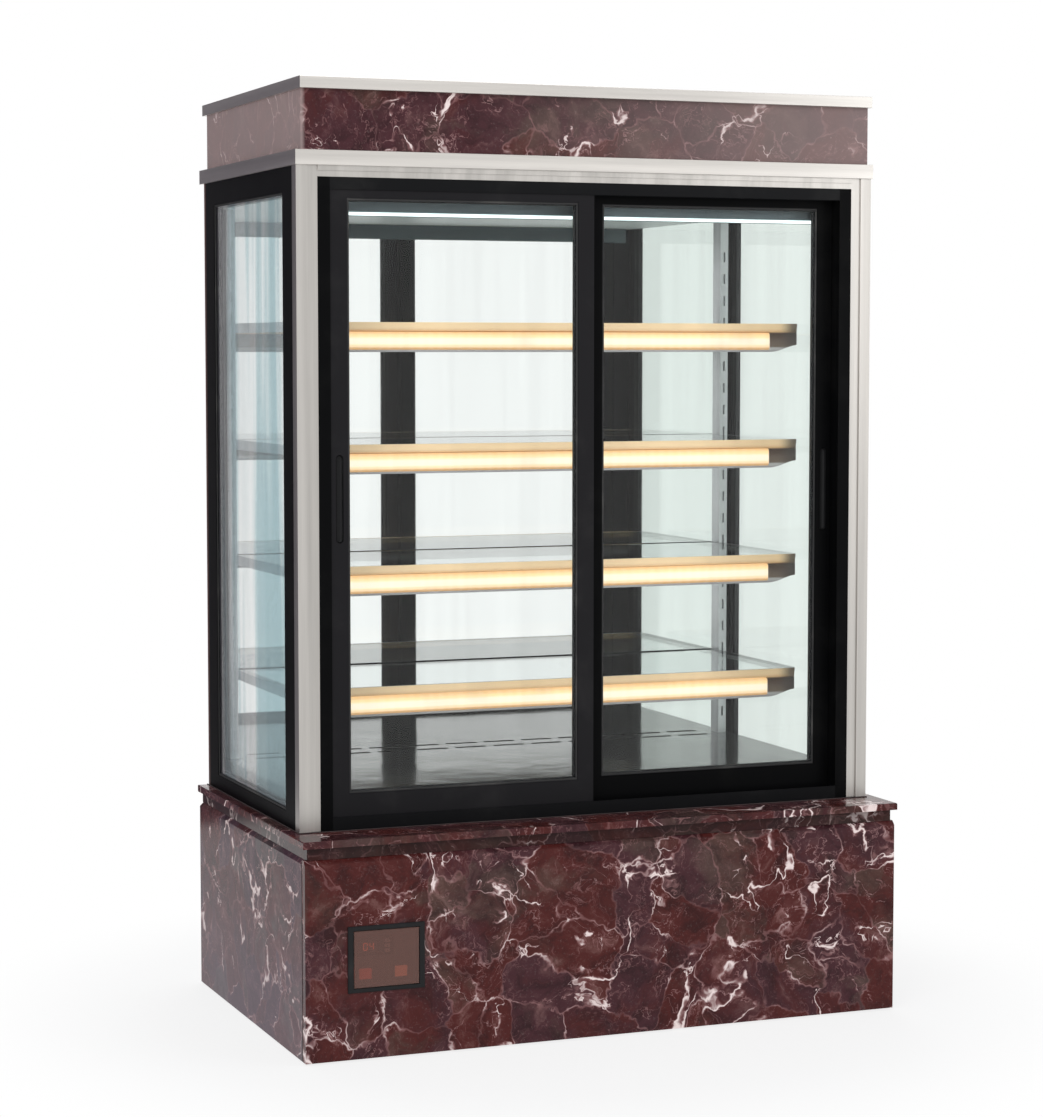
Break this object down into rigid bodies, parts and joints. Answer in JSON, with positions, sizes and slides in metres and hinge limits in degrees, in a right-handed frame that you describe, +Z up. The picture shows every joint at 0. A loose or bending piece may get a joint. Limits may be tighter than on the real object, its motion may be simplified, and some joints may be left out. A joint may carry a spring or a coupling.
{
  "type": "refrigerated cake display cabinet",
  "caption": "Upright glazed cake display refrigerator with sliding front doors, lit glass shelves, mirror back, stone plinth with the cooling unit, and stone canopy between steel lips",
  "frame": {"origin": "on the floor, under the middle of the whole cabinet's outline", "axes": "+X to the right seen from the front, +Y to the back, +Z up; the sliding doors face -Y"},
  "size_m": [1.2, 0.74, 1.765],
  "materials": {
    "burgundy_marble": "polished, veined",
    "canopy_marble": "polished, veined",
    "stainless": "brushed",
    "black_frame": "satin black",
    "track_black": "black anodised",
    "clear_glass": "clear with a green tint",
    "shelf_glass": "clear toughened glass",
    "smoked_cover": "smoked, clear",
    "silvered_mirror": "silvered",
    "grey_deck": "dark grey, glossy",
    "white_liner": "white gloss",
    "galvanised": "galvanised",
    "zinc_steel": "zinc plated",
    "maroon_cladding": "dark maroon brown",
    "black_plastic": "moulded black",
    "white_plastic": "moulded white",
    "grey_plastic": "moulded grey",
    "fin_aluminium": "mill finish fins",
    "copper_pipe": "drawn copper",
    "compressor_enamel": "black enamel",
    "warm_lamp": "lit opal diffuser",
    "tan_housing": "anodised, warm tan",
    "cool_lamp": "lit opal diffuser",
    "lit_red_rocker": "lit red",
    "lit_orange_rocker": "lit orange",
    "nylon": "nylon"
  },
  "bodies": {
    "cabinet": {"plinth_front_panel": "burgundy_marble", "plinth_side_panels": "burgundy_marble", "plinth_top": "burgundy_marble", "plinth_rear_panel": "galvanised", "power_inlet": "black_plastic", "chassis": "galvanised", "levelling_feet": "zinc_steel", "condenser_coil": "fin_aluminium", "condenser_shroud": "galvanised", "condenser_fan_motor": "zinc_steel", "compressor": "compressor_enamel", "drain_tray": "grey_plastic", "refrigerant_pipes": "copper_pipe", "cold_tub": "white_plastic", "evaporator_coil": "fin_aluminium", "evaporator_fan_motors": "galvanised", "electrical_box": "grey_plastic", "control_window_bezel": "black_plastic", "control_panel": "grey_deck", "temperature_controller": "black_plastic", "deck": "grey_deck", "rear_wall": "maroon_cladding", "mirror": "silvered_mirror", "side_frames": "black_frame", "side_glass_left": "clear_glass", "side_glass_right": "clear_glass", "front_trim": "stainless", "lower_lip": "stainless", "top_lip": "stainless", "canopy_panels": "canopy_marble", "canopy_box": "galvanised", "ceiling_panel": "white_liner", "ceiling_lamp": "cool_lamp", "door_jambs": "black_frame", "bottom_track": "track_black", "top_track": "track_black", "shelf_light_housings": "tan_housing", "shelf_light_diffusers": "warm_lamp", "shelf_supports": "zinc_steel", "glass_shelf_1": "shelf_glass", "glass_shelf_2": "shelf_glass", "glass_shelf_3": "shelf_glass", "glass_shelf_4": "shelf_glass"},
    "left_door": {"left_door_frame": "black_frame", "left_door_glass": "clear_glass"},
    "right_door": {"right_door_frame": "black_frame", "right_door_glass": "clear_glass"},
    "left_roller_1": {"left_door_roller_1": "nylon"},
    "left_roller_2": {"left_door_roller_2": "nylon"},
    "right_roller_1": {"right_door_roller_1": "nylon"},
    "right_roller_2": {"right_door_roller_2": "nylon"},
    "condenser_fan_rotor": {"condenser_fan": "black_plastic"},
    "evaporator_fan_rotor_1": {"evaporator_fan_1": "black_plastic"},
    "evaporator_fan_rotor_2": {"evaporator_fan_2": "black_plastic"},
    "cover": {"control_window_cover": "smoked_cover"},
    "down_key": {"key_down": "white_plastic"},
    "set_key": {"key_set": "white_plastic"},
    "up_key": {"key_up": "white_plastic"},
    "power_rocker": {"power_switch": "lit_red_rocker"},
    "light_rocker": {"light_switch": "lit_orange_rocker"}
  },
  "joints": [
    {"name": "left_door_slide", "type": "slide", "parent": "cabinet", "child": "left_door", "axis": [1, 0, 0], "range_m": [0, 0.49]},
    {"name": "right_door_slide", "type": "slide", "parent": "cabinet", "child": "right_door", "axis": [1, 0, 0], "range_m": [-0.49, 0]},
    {"name": "left_roller_1_spin", "type": "hinge", "parent": "left_door", "child": "left_roller_1", "pos_m": [-0.423, -0.261, 0.4233], "axis": [0, 1, 0], "range_deg": [0, 3600]},
    {"name": "left_roller_2_spin", "type": "hinge", "parent": "left_door", "child": "left_roller_2", "pos_m": [-0.088, -0.261, 0.4233], "axis": [0, 1, 0], "range_deg": [0, 3600]},
    {"name": "right_roller_1_spin", "type": "hinge", "parent": "right_door", "child": "right_roller_1", "pos_m": [0.088, -0.235, 0.4233], "axis": [0, 1, 0], "range_deg": [-3600, 0]},
    {"name": "right_roller_2_spin", "type": "hinge", "parent": "right_door", "child": "right_roller_2", "pos_m": [0.423, -0.235, 0.4233], "axis": [0, 1, 0], "range_deg": [-3600, 0]},
    {"name": "condenser_fan_spin", "type": "hinge", "parent": "cabinet", "child": "condenser_fan_rotor", "pos_m": [-0.38, 0.2215, 0.13], "axis": [0, 1, 0], "continuous": true},
    {"name": "evaporator_fan_spin_1", "type": "hinge", "parent": "cabinet", "child": "evaporator_fan_rotor_1", "pos_m": [-0.17, 0.221, 0.336], "axis": [0, 1, 0], "continuous": true},
    {"name": "evaporator_fan_spin_2", "type": "hinge", "parent": "cabinet", "child": "evaporator_fan_rotor_2", "pos_m": [0.17, 0.221, 0.336], "axis": [0, 1, 0], "continuous": true},
    {"name": "cover_hinge", "type": "hinge", "parent": "cabinet", "child": "cover", "pos_m": [-0.4435, -0.368, 0.2355], "axis": [-1, 0, 0], "range_deg": [0, 100]},
    {"name": "down_key_press", "type": "slide", "parent": "cabinet", "child": "down_key", "axis": [0, 1, 0], "range_m": [0, 0.0012], "stiffness_N_per_m": 400},
    {"name": "set_key_press", "type": "slide", "parent": "cabinet", "child": "set_key", "axis": [0, 1, 0], "range_m": [0, 0.0012], "stiffness_N_per_m": 400},
    {"name": "up_key_press", "type": "slide", "parent": "cabinet", "child": "up_key", "axis": [0, 1, 0], "range_m": [0, 0.0012], "stiffness_N_per_m": 400},
    {"name": "power_rocker_tilt", "type": "hinge", "parent": "cabinet", "child": "power_rocker", "pos_m": [-0.478, -0.344, 0.155], "axis": [1, 0, 0], "range_deg": [-16, 0]},
    {"name": "light_rocker_tilt", "type": "hinge", "parent": "cabinet", "child": "light_rocker", "pos_m": [-0.41, -0.344, 0.155], "axis": [1, 0, 0], "range_deg": [-16, 0]}
  ],
  "couplings": [
    {"joint": "left_roller_1_spin", "follows": "left_door_slide", "rad_per_m": 125},
    {"joint": "left_roller_2_spin", "follows": "left_door_slide", "rad_per_m": 125},
    {"joint": "right_roller_1_spin", "follows": "right_door_slide", "rad_per_m": 125},
    {"joint": "right_roller_2_spin", "follows": "right_door_slide", "rad_per_m": 125}
  ]
}
